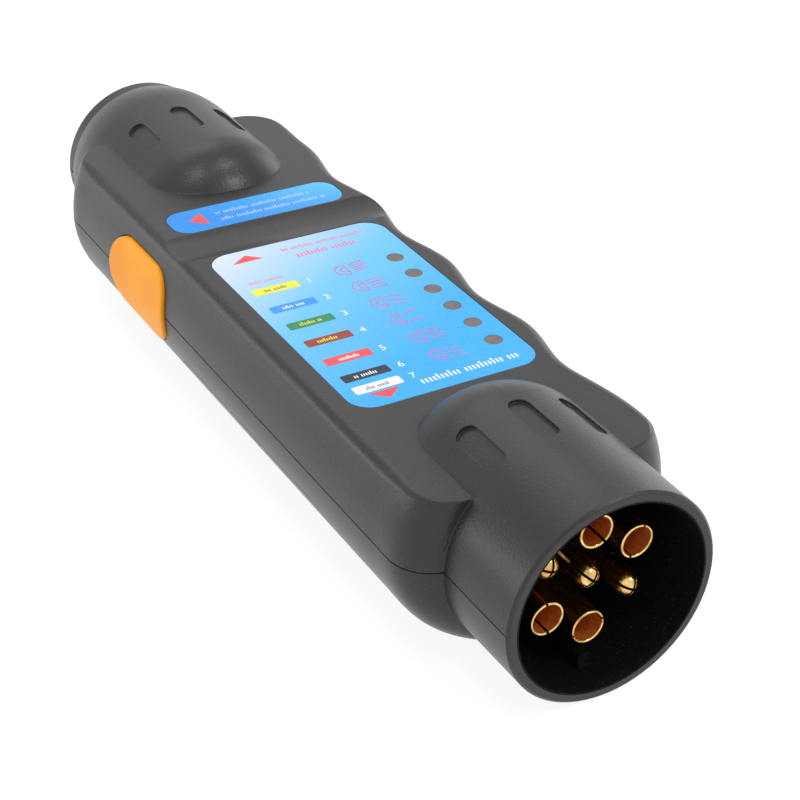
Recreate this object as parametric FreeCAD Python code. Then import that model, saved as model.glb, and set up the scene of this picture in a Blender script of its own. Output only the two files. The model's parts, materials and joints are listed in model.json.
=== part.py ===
import FreeCAD, Part
import math
import os

# Seven-contact towing circuit tester: a hand-held housing in two moulded shells, with a socket mouth at
# one end (-Y) and a plug skirt at the other (+Y), on one common connector axis.
# Millimetres. +Z is up through the label, Y runs along the length, and the origin is the middle of the
# footprint on the flat underside.

V = FreeCAD.Vector
ALONG_X = V(1, 0, 0)
ALONG_Y = V(0, 1, 0)
ALONG_Z = V(0, 0, 1)

# ---- housing: driving dimensions ----
overall_length = 207.2      # rim to rim
axis_height = 22.0          # connector axis and parting plane above the flat underside
deck_height = 36.3          # flat label deck
wall = 2.4                  # moulded wall
seat_gap = 0.1              # locating clearance between pieces that sit in each other
slide_gap = 0.2             # clearance round pieces that move

grip_length = 166.4         # hand grip between its two flat ends
left_half = 28.5            # straight side, at the parting plane
right_half = 29.3           # crests of the finger scallops
corner_radius = 8.5         # upright corners of the grip
side_radius = 32.0          # crown of the upper sides
deck_edge_middle = 3.2      # rounding of the deck edge along the sides
deck_edge_end = 0.9         # crisp deck lip at the two ends
least_edge = 0.4
least_flat = 1.5            # narrowest flat of the underside, at the two ends

scallop_count = 4
scallop_pitch = 31.7
scallop_middle = -4.0
scallop_depth = 2.5
inside_corner = 12.0        # upright corners of the hollow inside
station_pitch = 8.0         # spacing of the grip's cross-sections

neck_radius = 21.9          # both necks, just clear of the surface that the grip rests on
dome_radius = 15.5          # rounding of the inner end of each neck
near_neck_length = 52.2     # rim to the tip of the dome
far_neck_length = 59.7
rim_radius = 21.75
rim_bevel = 0.5
near_taper = 20.4           # rim to where the socket neck has its full radius
socket_bore = 19.5
skirt_radius = 19.0
skirt_length = 4.4
skirt_shoulder = 0.7
shoulder_length = 0.3
flare_length = 12.5
skirt_bore = 17.0

seam_width = 0.3            # shadow line round the parting plane
seam_depth = 0.35
lip_height = 1.0            # locating lip of the lower shell
tip_room = 1.0              # blind holes run this far past a screw's tip

recess_angles = (60.0, 90.0, 120.0)
recess_length = 13.2
recess_width = 4.4
recess_depth = 0.7
near_recess_setback = 27.5  # rim to the middle of the finger recesses
far_recess_setback = 31.0

# ---- connectors ----
insert_depth = 27.0         # rim to the face of the contact carrier
insert_thickness = 7.0
insert_flange = 0.9         # carrier flange beyond its bore
flange_offset = 2.0
flange_thickness = 2.6
collar_inset = 0.4          # neck surface to the stock round each carrier

contact_circle = 10.5       # radius of the ring of six contacts round the centre one
contact_first_angle = 30.0
tube_places = (0, 1, 3, 4)  # ring places that hold tubes in the socket and pins in the plug
tube_depth = 6.3            # rim to the open ends of the contact tubes
pin_depth = 6.0
tube_outer = 3.5
tube_bore = 2.9
tube_bore_depth = 17.0
pin_radius = 2.5
shank_radius = 2.2
slit_width = 0.5
slit_length = 9.0
tail_length = 8.0
slit_turns = (113, 55, 20, 85, 162, 25, 40)

key_radius = 1.7
key_sink = 1.3              # middle of the key inside the socket's bore
key_setback = 6.5
keyway_radius = 2.1
keyway_rise = 0.5           # middle of the keyway outside the skirt
keyway_length = 12.0

# ---- deck: labels and lamps ----
label_half_width = 20.7
main_label_start = -49.6
main_label_length = 68.05
main_label_corner = 5.0
end_label_start = 30.9
end_label_length = 10.5
end_label_corner = 4.0
label_thickness = 0.3
label_pocket = 0.35
label_gap = 0.1
valley_depth = 1.0
valley_width = 11.5

led_count = 6
led_x = 15.7
led_first_y = -38.6
led_pitch = 7.86
led_radius = 1.7
led_rim_radius = 2.2
led_rim_height = 1.0
led_standoff = 3.2          # board to the rim of the lamp
led_dome = 0.6              # rise of the lens
led_sink = 0.2              # lamp tops below the deck
led_leg = 0.5               # square legs
led_leg_pitch = 2.54
window_radius = 1.9

# ---- circuit board ----
board_lift = 2.1            # battery tub to the underside of the board
board_thickness = 1.6
board_half_width = 20.0
board_start = -47.6
board_length = 93.6
post_x = 16.0
post_setback = 2.6          # board ends to the rows of posts
post_radius = 2.6
board_screw_radius = 1.1
board_screw_head = 2.0
board_screw_head_height = 1.3
board_screw_length = 6.0
screw_gap = 0.05            # between a self-tapping screw and the hole that it has cut

leg_stub = 0.8              # lamp legs stand this far through the board
leg_hole = 0.8
resistor_x = 6.0            # chip resistors, one beside each lamp
resistor_length = 3.2
resistor_width = 1.6
resistor_height = 0.6
resistor_cap = 0.5          # metal end caps
resistor_cap_step = 0.05

# ---- side button and its switch ----
button_start = 23.4
button_length = 29.4
button_height = 17.8
button_foot = 13.9          # lower edge of the button above the underside
button_corner = 6.0
button_far_corner = 10.5
button_proud = 0.8
button_gap = 0.25
button_travel = 1.0
button_flange = 1.4
button_flange_thickness = 1.2
button_flange_reach = 6.6   # how far in from the side the flange may curve
button_edge = 0.6
stem_radius = 2.2

switch_size = 6.0
switch_depth = 7.0
switch_edge = 0.5           # board edge to the switch body
plunger_radius = 1.4
plunger_reach = 3.0
plunger_gap = 0.1
switch_floor = 1.0          # solid part of the switch behind its plunger

# ---- battery, its tub and the door ----
door_start = -48.6
door_length = 68.6
door_top = 14.3             # upper edge of the wrap-round door
door_corner = 5.0
door_gap = 0.2
plate = 1.6                 # bulkheads, ledge and tub walls
tub_lift = 2.0              # tub walls stop above the door's round inside
rail_width = 1.4            # rails inside the door that carry the battery
rail_x = 8.0
rail_setback = 2.0          # battery ends to the ends of the rails
thumb_ridges = 5
thumb_ridge_pitch = 1.8
thumb_ridge_radius = 0.5
thumb_ridge_setback = 3.0

battery_length = 46.2
battery_width = 26.5
battery_thickness = 17.5
rail_height = 1.9           # inside of the door to the battery
battery_edge = 1.6
battery_gap = 0.5
terminal_length = 2.4
terminal_pitch = 12.7
terminal_radii = (2.9, 3.8)
terminal_root = 0.5         # terminals start this far inside the case
snap_thickness = 4.4
snap_width = 25.0
snap_height = 12.6
snap_gap = 0.15
lead_radius = 0.6
lead_x = 4.0
lead_run = 9.0
lead_hole = 1.2

# ---- screws and wiring ----
screw_x = 20.4
screw_setback = 26.6        # grip ends to the screws
boss_radius = 3.6
screw_shank = 1.45
screw_head = 2.75
screw_head_height = 2.0
screw_seat = 10.0
screw_length = 20.0
head_gap = 0.4
shank_gap = 0.15
cross_width = 0.7
cross_depth = 1.0

wire_radius = 0.7
wire_straight = 4.0
wire_pad_pitch = 4.5

# ---- places that follow from them ----
rim = overall_length / 2
grip_end = grip_length / 2
near_face = -rim + insert_depth
insert_back = insert_depth + insert_thickness
battery_foot = wall + rail_height
tub_top = battery_foot + battery_thickness + battery_gap
board_underside = tub_top + plate + board_lift
board_top = board_underside + board_thickness
led_top = deck_height - led_sink
board_end = board_start + board_length
button_y = button_start + button_length / 2
switch_z = board_underside - switch_size / 2
switch_face = -board_half_width + switch_edge
door_end = door_start + door_length
battery_start = door_start + door_gap + plate + battery_gap
battery_end = battery_start + battery_length
battery_z = battery_foot + battery_thickness / 2
snap_back = battery_end + snap_gap + snap_thickness
tub_inside = battery_width / 2 + battery_gap
lead_y = snap_back + lead_run
screw_places = [(x, y) for y in (-grip_end + screw_setback, grip_end - screw_setback)
                for x in (-screw_x, screw_x)]
post_places = [(x, y) for y in (board_start + post_setback, board_end - post_setback)
               for x in (-post_x, post_x)]
led_places = [led_first_y + led_pitch * i for i in range(led_count)]
parting_low = axis_height - seam_width / 2
parting_high = axis_height + seam_width / 2
plunger_hole = switch_depth - switch_floor
trim_stock = 0.02           # trimmed from deck and underside, which leaves them true planes
beyond = 5.0                # how far a cutting tool runs past what it cuts
slant = math.sqrt(0.5)


# ---- small helpers ----
def box(x0, x1, y0, y1, z0, z1):
    return Part.makeBox(x1 - x0, y1 - y0, z1 - z0, V(x0, y0, z0))


def rod(radius, start, end):
    """Round bar between two points."""
    way = end - start
    return Part.makeCylinder(radius, way.Length, start, way)


def upright(radius, x, y, z0, z1):
    return rod(radius, V(x, y, z0), V(x, y, z1))


def lengthwise(radius, x, z, y0, y1):
    return rod(radius, V(x, y0, z), V(x, y1, z))


def fuse(shapes):
    return shapes[0].fuse(shapes[1:]).removeSplitter()


def turned(pieces, x=0.0, z=axis_height):
    """Solid of revolution about a line along Y. A piece is a list of (y, r): two for a line, three for
    an arc through them."""
    edges = []
    for piece in pieces:
        points = [V(x, y, z + r) for y, r in piece]
        if len(points) == 2:
            edges.append(Part.makeLine(points[0], points[1]))
        else:
            edges.append(Part.Arc(points[0], points[1], points[2]).toShape())
    face = Part.Face(Part.Wire(edges))
    return face.revolve(V(x, 0, z), ALONG_Y, 360)


def outline(corners):
    """Lines that join a closed run of (y, r) corners, as pieces for turned()."""
    return [[a, b] for a, b in zip(corners, corners[1:] + corners[:1])]


def rounded_panel(width, length, radii):
    """Flat panel with its first corner at the origin: width along X, length along Y, and a radius for
    each corner, in order round from the origin."""
    a, b, c, d = radii
    corners = [(0, 0, a, 180), (width, 0, b, 270), (width, length, c, 0), (0, length, d, 90)]
    edges = []
    points = []
    for x, y, radius, start in corners:
        centre = V(x + (radius if x == 0 else -radius), y + (radius if y == 0 else -radius), 0)
        arc = Part.makeCircle(radius, centre, ALONG_Z, start, start + 90)
        edges.append(arc)
        points.append((arc.Vertexes[0].Point, arc.Vertexes[-1].Point))
    for here, after in zip(points, points[1:] + points[:1]):
        if (after[0] - here[1]).Length > 1e-6:
            edges.append(Part.makeLine(here[1], after[0]))
    return Part.Face(Part.Wire(Part.__sortEdges__(edges)))


def save(name, shape):
    shape.exportStep(os.path.join("parts", name + ".step"))
    print(name, len(shape.Solids), round(shape.Volume, 1))


# ---- outer form of the housing ----
def corner_cut(y, inset):
    """How far an upright corner draws the side in at y."""
    radius = corner_radius - inset
    past = abs(y) - (grip_end - inset - radius)
    if past <= 0:
        return 0.0
    return radius - math.sqrt(max(radius * radius - past * past, 0.0))


def scallop(y):
    """Depth at y of the finger scallops, one smooth hollow for each finger."""
    first = scallop_middle - scallop_pitch * (scallop_count - 1) / 2
    for finger in range(scallop_count):
        offset = abs(y - first - finger * scallop_pitch)
        if offset < scallop_pitch / 2:
            return scallop_depth * math.cos(math.pi * offset / scallop_pitch) ** 2
    return 0.0


def side_points(side, y, half, edge, inset):
    """Points down one side of a cross-section: rounded deck edge, crowned side, round underside."""
    crown = side_radius - inset
    top = deck_height - inset + trim_stock
    low = axis_height - inset + trim_stock
    edge = max(edge - inset, least_edge)
    angle = math.asin((top - axis_height - edge) / (crown - edge))
    crown_x = half - crown
    edge_x = crown_x + (crown - edge) * math.cos(angle)
    edge_z = top - edge
    middle = (angle + math.pi / 2) / 2
    flat = max(half - (axis_height - inset), least_flat)
    return [
        V(side * edge_x, y, top),
        V(side * (edge_x + edge * math.cos(middle)), y, edge_z + edge * math.sin(middle)),
        V(side * (crown_x + crown * math.cos(angle)), y, axis_height + crown * math.sin(angle)),
        V(side * (crown_x + crown * math.cos(angle / 2)), y, axis_height + crown * math.sin(angle / 2)),
        V(side * half, y, axis_height),
        V(side * (flat + (half - flat) * slant), y, axis_height - low * slant),
        V(side * flat, y, axis_height - low),
    ]


def half_section(side, y, half, edge, inset):
    """One half of a cross-section, closed along the middle plane."""
    points = side_points(side, y, half, edge, inset)
    top = V(0, y, points[0].z)
    foot = V(0, y, points[-1].z)
    edges = [Part.makeLine(top, points[0])]
    for i in (0, 2, 4):
        edges.append(Part.Arc(points[i], points[i + 1], points[i + 2]).toShape())
    edges += [Part.makeLine(points[-1], foot), Part.makeLine(foot, top)]
    return Part.Wire(edges)


def grip_half(side, y, inset):
    """Half of the hand grip's cross-section at y."""
    blend = min((grip_end - abs(y)) / (2 * corner_radius), 1.0)
    edge = deck_edge_end + (deck_edge_middle - deck_edge_end) * max(blend, 0.0)
    half = right_half - scallop(y) if side > 0 else left_half
    return half_section(side, y, half - inset - corner_cut(y, inset), edge, inset)


def grip_form(inset):
    """The hand grip, drawn in by inset all round: straight on the left, scalloped on the right, and
    lofted round its upright corners."""
    radius = corner_radius - inset
    end = grip_end - inset
    corner = [end - radius * (1 - math.cos(math.radians(a))) for a in (0, 22.5, 45, 67.5, 90)]
    straight = corner[-1]
    blend_start = grip_end - 2 * corner_radius
    near_end = [-y for y in corner] + [-(straight + blend_start) / 2, -blend_start]
    far_end = [-y for y in near_end[::-1]]
    gaps = round(2 * straight / station_pitch)
    middle = [-straight + 2 * straight * i / gaps for i in range(1, gaps)]
    left = [Part.makeLoft([grip_half(-1, y, inset) for y in stations], True, False)
            for stations in (near_end, far_end)]
    bar = Part.Face(grip_half(-1, -blend_start, inset)).extrude(V(0, 2 * blend_start, 0))
    stations = [-y for y in corner] + middle + corner[::-1]
    right = Part.makeLoft([grip_half(1, y, inset) for y in stations], True, False)
    wide = right_half + beyond
    return fuse([right, bar] + left).common(box(-wide, wide, -rim, rim, inset, deck_height - inset))


def plain_grip(inset):
    """The grip without its finger scallops, drawn in by inset: the form of all that lies inside."""
    end = grip_end - inset
    left = left_half - inset
    right = right_half - scallop_depth - inset
    halves = [Part.Face(half_section(side, -end, half, deck_edge_middle, inset)).extrude(V(0, 2 * end, 0))
              for side, half in ((-1, left), (1, right))]
    plan = rounded_panel(left + right, 2 * end, (inside_corner,) * 4)
    plan.translate(V(-left, -end, inset))
    return fuse(halves).common(plan.extrude(V(0, 0, deck_height - 2 * inset)))


def neck_form(rim_pieces, tip, side, inset):
    """Turned neck: the given pieces from its rim, a plain barrel, then a rounded inner end at tip."""
    radius = neck_radius - inset
    dome = dome_radius - inset
    centre_y = tip + side * dome
    centre_r = radius - dome
    barrel_start = rim_pieces[-1][-1]
    pieces = rim_pieces + [
        [barrel_start, (centre_y, radius)],
        [(centre_y, radius), (centre_y - side * dome * slant, centre_r + dome * slant), (tip, centre_r)],
        [(tip, centre_r), (tip, 0)],
        [(tip, 0), rim_pieces[0][0]],
    ]
    return turned(pieces)


def near_neck(inset):
    """Socket neck, plain to its bevelled rim."""
    outer = rim_radius - inset
    pieces = [[(-rim, 0), (-rim, outer - rim_bevel)],
              [(-rim, outer - rim_bevel), (-rim + rim_bevel, outer)],
              [(-rim + rim_bevel, outer), (-rim + near_taper, neck_radius - inset)]]
    return neck_form(pieces, -rim + near_neck_length - inset, -1, inset)


def far_neck(inset):
    """Plug neck: a bevelled skirt, a small shoulder, then a flare that meets the barrel smoothly."""
    outer = skirt_radius - inset
    shoulder = outer + skirt_shoulder
    skirt_end = rim - skirt_length
    flare_start = skirt_end - shoulder_length
    flare_end = flare_start - flare_length
    rise = neck_radius - inset - shoulder
    bow = (flare_length ** 2 + rise ** 2) / (2 * rise)
    turn = math.asin(flare_length / bow) / 2
    bow_middle = (flare_end + bow * math.sin(turn), neck_radius - inset - bow * (1 - math.cos(turn)))
    pieces = [[(rim, 0), (rim, outer - rim_bevel)],
              [(rim, outer - rim_bevel), (rim - rim_bevel, outer)],
              [(rim - rim_bevel, outer), (skirt_end, outer)],
              [(skirt_end, outer), (flare_start, shoulder)],
              [(flare_start, shoulder), bow_middle, (flare_end, neck_radius - inset)]]
    return neck_form(pieces, rim - far_neck_length + inset, 1, inset)


def outer_form(inset):
    return grip_form(inset).fuse([near_neck(inset), far_neck(inset)])


# ---- housing shells ----
def collars():
    """Solid stock that each carrier's seat is cut from, inside the grip."""
    radius = neck_radius - collar_inset
    near = lengthwise(radius, 0, axis_height, -rim, -rim + insert_back)
    far = lengthwise(radius, 0, axis_height, rim - insert_back, rim)
    return near.fuse(far)


def carrier_bores():
    """Socket mouth and plug skirt, open right through to the inside, with a groove for each flange."""
    tools = []
    for side, bore in ((-1, socket_bore), (1, skirt_bore)):
        groove = bore + insert_flange + seat_gap
        face = side * (rim - insert_depth)
        ends = sorted((side * (rim + beyond), face - side * (insert_thickness + beyond / 2)))
        tools.append(lengthwise(bore, 0, axis_height, ends[0], ends[1]))
        near_edge = face - side * (flange_offset - seat_gap)
        far_edge = face - side * (flange_offset + flange_thickness + seat_gap)
        ends = sorted((near_edge, far_edge))
        tools.append(lengthwise(groove, 0, axis_height, ends[0], ends[1]))
    return tools


def cavity():
    """Everything inside the walls except the carrier seats."""
    inside = plain_grip(wall).fuse([near_neck(wall), far_neck(wall)])
    return inside.cut(collars())


def hollow_housing(outside):
    """Walls, carrier seats and screw bosses, before the two halves part."""
    shell = outside.cut([cavity()] + carrier_bores())
    rooted = plain_grip(wall / 2)
    bosses = [upright(boss_radius, x, y, 0, deck_height).common(rooted) for x, y in screw_places]
    return shell.fuse(bosses)


def seam_groove():
    """Thin ring that leaves a shadow line round the parting plane."""
    wide = right_half + beyond
    ring = box(-wide, wide, -rim + rim_bevel, rim - rim_bevel, parting_low, parting_high)
    return ring.cut(outer_form(seam_depth))


def lip(clearance, height):
    """Inner half of the wall, just above the parting plane, clear of the two necks."""
    wide = right_half + beyond
    slab = box(-wide, wide, -grip_end, grip_end, axis_height, axis_height + height)
    ring = plain_grip(wall / 2 + clearance).common(slab).cut(plain_grip(wall))
    keep_out = neck_radius - collar_inset + wall
    return ring.cut(lengthwise(keep_out, 0, axis_height, -rim, rim))


def side_prism(face, x0, x1):
    """A panel drawn in X and Y, stood up against the side: its X becomes Y and its Y becomes Z."""
    panel = face.copy()
    panel.rotate(V(0, 0, 0), ALONG_X, 90)
    panel.rotate(V(0, 0, 0), ALONG_Z, 90)
    panel.translate(V(x0, 0, 0))
    return panel.extrude(V(x1 - x0, 0, 0))


def button_prism(grow, x0, x1):
    """The button's outline, rounder at its upper far corner, grown by grow."""
    small = button_corner + grow
    large = button_far_corner + grow
    face = rounded_panel(button_length + 2 * grow, button_height + 2 * grow, (small, small, large, small))
    face.translate(V(button_start - grow, button_foot - grow, 0))
    return side_prism(face, x0, x1)


def door_prism(grow):
    """Side view of the battery door's opening: round upper corners, open below."""
    corner = door_corner + grow
    foot = door_top + grow + beyond + corner
    face = rounded_panel(door_length + 2 * grow, foot, (corner,) * 4)
    face.translate(V(door_start - grow, door_top + grow - foot, 0))
    wide = right_half + beyond
    return side_prism(face, -wide, wide)


def label_panel(start, length, corner, grow, z0, z1):
    corner = corner + grow
    face = rounded_panel(2 * (label_half_width + grow), length + 2 * grow, (corner,) * 4)
    face.translate(V(-label_half_width - grow, start - grow, z0))
    return face.extrude(V(0, 0, z1 - z0))


def label_pockets():
    floor = deck_height - label_pocket
    above = deck_height + beyond
    return [label_panel(main_label_start, main_label_length, main_label_corner, label_gap, floor, above),
            label_panel(end_label_start, end_label_length, end_label_corner, label_gap, floor, above)]


def valley():
    """Shallow round hollow across the deck between the two labels."""
    bow = ((valley_width / 2) ** 2 + valley_depth ** 2) / (2 * valley_depth)
    y = (main_label_start + main_label_length + end_label_start) / 2
    z = deck_height - valley_depth + bow
    wide = right_half + beyond
    return rod(bow, V(-wide, y, z), V(wide, y, z))


def grip_recess(y, angle):
    """Long round-ended finger recess in the top of a neck."""
    floor = neck_radius - recess_depth
    half = (recess_length - recess_width) / 2
    radius = recess_width / 2
    block = box(-radius, radius, y - half, y + half, axis_height + floor, axis_height + floor + beyond)
    ends = [upright(radius, 0, y + side * half, axis_height + floor, axis_height + floor + beyond)
            for side in (-1, 1)]
    tool = fuse([block] + ends)
    tool.rotate(V(0, 0, axis_height), ALONG_Y, 90 - angle)
    return tool


def grip_recesses():
    return [grip_recess(y, angle) for y in (near_recess_setback - rim, rim - far_recess_setback)
            for angle in recess_angles]


def make_top_shell(housing):
    wide = right_half + beyond
    shell = housing.common(box(-wide, wide, -rim, rim, axis_height, deck_height + neck_radius))
    posts = [upright(post_radius, x, y, board_top, deck_height - wall / 2) for x, y in post_places]
    shell = shell.fuse(posts)
    groove = lip(0, lip_height + seat_gap)
    tools = [groove, seam_groove(), valley(), button_prism(button_gap, -wide, -left_half + corner_radius)]
    tools += label_pockets() + grip_recesses()
    tools += [upright(window_radius, led_x, y, board_top, deck_height + beyond) for y in led_places]
    tip = screw_seat + screw_length + tip_room
    tools += [upright(screw_shank + screw_gap, x, y, 0, tip) for x, y in screw_places]
    hole = board_underside + board_screw_length + tip_room
    tools += [upright(board_screw_radius + screw_gap, x, y, 0, hole) for x, y in post_places]
    return shell.cut(tools)


def battery_tub():
    """Bulkheads and ledge round the door's opening, and the walls and roof round the battery."""
    frame = door_prism(plate).cut(door_prism(0)).common(plain_grip(wall / 2))
    outer = tub_inside + plate
    front = battery_start - battery_gap - plate
    back = door_end - door_gap
    foot = battery_foot + tub_lift
    tub = box(-outer, outer, front, back, foot, tub_top + plate)
    room = box(-tub_inside, tub_inside, front + plate, back - plate, -beyond, tub_top)
    holes = [upright(lead_hole, x, lead_y, foot, board_underside) for x in (-lead_x, lead_x)]
    return frame.fuse(tub).cut([room] + holes)


def make_bottom_shell(housing):
    wide = right_half + beyond
    shell = housing.common(box(-wide, wide, -rim, rim, -beyond, axis_height))
    shell = shell.cut([seam_groove(), door_prism(0)])
    shell = shell.fuse([battery_tub(), lip(seat_gap, lip_height), socket_key()])
    tools = [button_prism(button_gap, -wide, -left_half + corner_radius), plug_keyway()]
    for x, y in screw_places:
        tools.append(upright(screw_head + head_gap, x, y, -beyond, screw_seat))
        tools.append(upright(screw_shank + shank_gap, x, y, 0, axis_height + lip_height + beyond))
    return shell.cut(tools)


def socket_key():
    """Round-nosed rib along the bottom of the socket mouth."""
    z = axis_height - socket_bore + key_sink
    return lengthwise(key_radius, 0, z, -rim + key_setback, near_face)


def plug_keyway():
    """Groove along the bottom of the plug skirt that such a key runs in."""
    z = axis_height - skirt_radius - keyway_rise
    return lengthwise(keyway_radius, 0, z, rim - keyway_length, rim + beyond)


def make_battery_door(outside):
    """Wrap-round door: a piece of the lower wall, with two battery rails and a ridged thumb place."""
    skin = outside.cut(plain_grip(wall)).common(door_prism(-door_gap))
    foot = wall - seat_gap
    rails = [box(x - rail_width / 2, x + rail_width / 2, battery_start + rail_setback,
                 battery_end - rail_setback, foot, battery_foot - seat_gap) for x in (-rail_x, rail_x)]
    rails = [rail.common(outside) for rail in rails]
    ridges = []
    for i in range(thumb_ridges):
        y = door_end - thumb_ridge_setback - i * thumb_ridge_pitch
        ridges.append(rod(thumb_ridge_radius, V(-rail_x / 2, y, 0), V(rail_x / 2, y, 0)))
    return skin.fuse(rails).cut(ridges)


# ---- connectors ----
def contact_places():
    """(x, z) of the ring of six, then the centre one."""
    ring = []
    for i in range(6):
        turn = math.radians(contact_first_angle + 60 * i)
        ring.append((contact_circle * math.cos(turn), axis_height + contact_circle * math.sin(turn)))
    return ring + [(0.0, axis_height)]


def make_carrier(side, bore):
    """Round insulator with a locating flange and seven contact holes."""
    radius = bore - seat_gap
    flange = bore + insert_flange
    face = side * (rim - insert_depth)
    step = -side
    corners = [(face, 0), (face, radius), (face + step * flange_offset, radius),
               (face + step * flange_offset, flange),
               (face + step * (flange_offset + flange_thickness), flange),
               (face + step * (flange_offset + flange_thickness), radius),
               (face + step * insert_thickness, radius), (face + step * insert_thickness, 0)]
    disc = turned(outline(corners))
    holes = [lengthwise(shank_radius + screw_gap, x, z, -rim, rim) for x, z in contact_places()]
    return disc.cut(holes)


def contact_back(front_to_face, body_radius):
    """Shank through the carrier and its tail, as (distance from the front, radius)."""
    end = front_to_face + insert_thickness + tail_length
    return [(front_to_face, body_radius), (front_to_face, shank_radius), (end, shank_radius), (end, 0)]


def slits(count, turn, x, z, body_radius):
    """Lengthwise spring slits across the front of a contact."""
    cuts = []
    for i in range(count):
        wide = body_radius + beyond
        cut = box(-wide, wide, -beyond, slit_length, -slit_width / 2, slit_width / 2)
        cut.rotate(V(0, 0, 0), ALONG_Y, turn + 90 * i)
        cut.translate(V(x, 0, z))
        cuts.append(cut)
    return cuts


def make_tube(side, place, turn):
    """Slit contact tube."""
    x, z = place
    length = insert_depth - tube_depth
    corners = [(0, tube_bore), (0, tube_outer)] + contact_back(length, tube_outer)
    corners += [(tube_bore_depth, 0), (tube_bore_depth, tube_bore)]
    solid = turned(outline(corners), x, z).cut(slits(1, turn, x, z, tube_outer))
    return place_contact(solid, side, tube_depth)


def make_pin(side, place, turn):
    """Cross-slit contact pin with a domed tip."""
    x, z = place
    length = insert_depth - pin_depth
    tip = pin_radius
    pieces = [[(0, 0), (tip * (1 - slant), tip * slant), (tip, tip)]]
    corners = [(tip, tip)] + contact_back(length, pin_radius)
    pieces += [[a, b] for a, b in zip(corners, corners[1:] + [(0, 0)])]
    solid = turned(pieces, x, z).cut(slits(2, turn, x, z, pin_radius))
    return place_contact(solid, side, pin_depth)


def place_contact(solid, side, depth):
    """Carry a contact, drawn with its front at y = 0 and facing -Y, to its rim."""
    if side > 0:
        solid = solid.mirror(V(0, 0, 0), ALONG_Y)
    solid.translate(V(0, side * (rim - depth), 0))
    return solid


# ---- board and what is on it ----
def led_leg_xs():
    return (led_x - led_leg_pitch / 2, led_x + led_leg_pitch / 2)


def square_bar(width, x, y, z0, z1):
    return box(x - width / 2, x + width / 2, y - width / 2, y + width / 2, z0, z1)


def make_board():
    board = box(-board_half_width, board_half_width, board_start, board_end, board_underside, board_top)
    holes = [upright(board_screw_radius + shank_gap, x, y, 0, deck_height) for x, y in post_places]
    for y in led_places:
        holes += [square_bar(leg_hole, x, y, 0, deck_height) for x in led_leg_xs()]
    return board.cut(holes)


def make_led(y):
    """Round lamp with a rim, a low domed lens and two square legs through the board."""
    foot = board_top + led_standoff
    bow = (led_radius ** 2 + led_dome ** 2) / (2 * led_dome)
    ball = Part.makeSphere(bow, V(led_x, y, led_top - bow))
    lens = upright(led_radius, led_x, y, foot, led_top).common(ball)
    stem = upright(led_radius, led_x, y, foot, led_top - led_dome)
    flange = upright(led_rim_radius, led_x, y, foot, foot + led_rim_height)
    legs = [square_bar(led_leg, x, y, board_underside - leg_stub, foot + leg_stub) for x in led_leg_xs()]
    return fuse([stem, lens, flange] + legs)


def make_resistors():
    """Row of chip resistors on the board, each with two end caps."""
    half = resistor_length / 2
    solids = []
    for y in led_places:
        chip = box(resistor_x - half, resistor_x + half, y - resistor_width / 2, y + resistor_width / 2,
                   board_top + resistor_cap_step, board_top + resistor_height)
        reach = resistor_width / 2 + resistor_cap_step
        caps = [box(x, x + resistor_cap, y - reach, y + reach, board_top,
                    board_top + resistor_height + resistor_cap_step)
                for x in (resistor_x - half - resistor_cap_step,
                          resistor_x + half + resistor_cap_step - resistor_cap)]
        solids.append(fuse([chip] + caps))
    return Part.makeCompound(solids)


def make_screw(x, y, seat, shank, head, head_height, length):
    """Pan-head screw driven upwards, its head under seat."""
    body = upright(shank, x, y, seat - head_height / 2, seat + length)
    return fuse([body, upright(head, x, y, seat - head_height, seat)])


def cross_recess(x, y, low):
    """Cross that the driver fits, cut upwards into a screw's head."""
    reach = screw_head * slant
    half = cross_width / 2
    return [box(x - reach, x + reach, y - half, y + half, low - beyond, low + cross_depth),
            box(x - half, x + half, y - reach, y + reach, low - beyond, low + cross_depth)]


def make_housing_screws():
    screws = [make_screw(x, y, screw_seat, screw_shank, screw_head, screw_head_height, screw_length)
              for x, y in screw_places]
    return Part.makeCompound([screw.cut(cross_recess(x, y, screw_seat - screw_head_height))
                              for screw, (x, y) in zip(screws, screw_places)])


def make_board_screws():
    return Part.makeCompound([make_screw(x, y, board_underside, board_screw_radius, board_screw_head,
                                         board_screw_head_height, board_screw_length)
                              for x, y in post_places])


# ---- side button ----
def make_button():
    """Crowned button that follows the side, with a retaining flange and a stem to the switch."""
    deep = wall + slide_gap + button_flange_thickness
    inside = plain_grip(deep)
    wide = left_half + beyond
    cap = button_prism(0, -wide, 0).common(plain_grip(-button_proud)).cut(inside)
    crown = max(cap.Faces, key=lambda face: -face.CenterOfMass.x)
    cap = cap.makeFillet(button_edge, crown.Edges)
    flange = button_prism(button_flange, -wide, -left_half + button_flange_reach)
    flange = flange.common(plain_grip(wall + slide_gap)).cut(inside)
    root = V(-left_half + deep - slide_gap, button_y, switch_z)
    stem = rod(stem_radius, root, V(switch_face - plunger_reach - plunger_gap, button_y, switch_z))
    return fuse([cap, flange, stem])


def make_switch_body():
    y0 = button_y - switch_size / 2
    case = box(switch_face, switch_face + switch_depth, y0, y0 + switch_size,
               board_underside - switch_size, board_underside)
    return case.cut(rod(plunger_radius + seat_gap, V(switch_face - beyond, button_y, switch_z),
                        V(switch_face + plunger_hole, button_y, switch_z)))


def make_plunger():
    inner = switch_face + plunger_hole - button_travel - seat_gap
    return rod(plunger_radius, V(switch_face - plunger_reach, button_y, switch_z),
               V(inner, button_y, switch_z))


# ---- battery ----
def make_battery():
    """Nine-volt block with its two snap terminals on one end."""
    case = box(-battery_width / 2, battery_width / 2, battery_start, battery_end,
               battery_foot, battery_foot + battery_thickness)
    long_edges = [edge for edge in case.Edges if abs(edge.tangentAt(edge.FirstParameter).y) > 0.9]
    case = case.makeFillet(battery_edge, long_edges)
    return fuse([case] + terminals(0, terminal_length))


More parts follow.
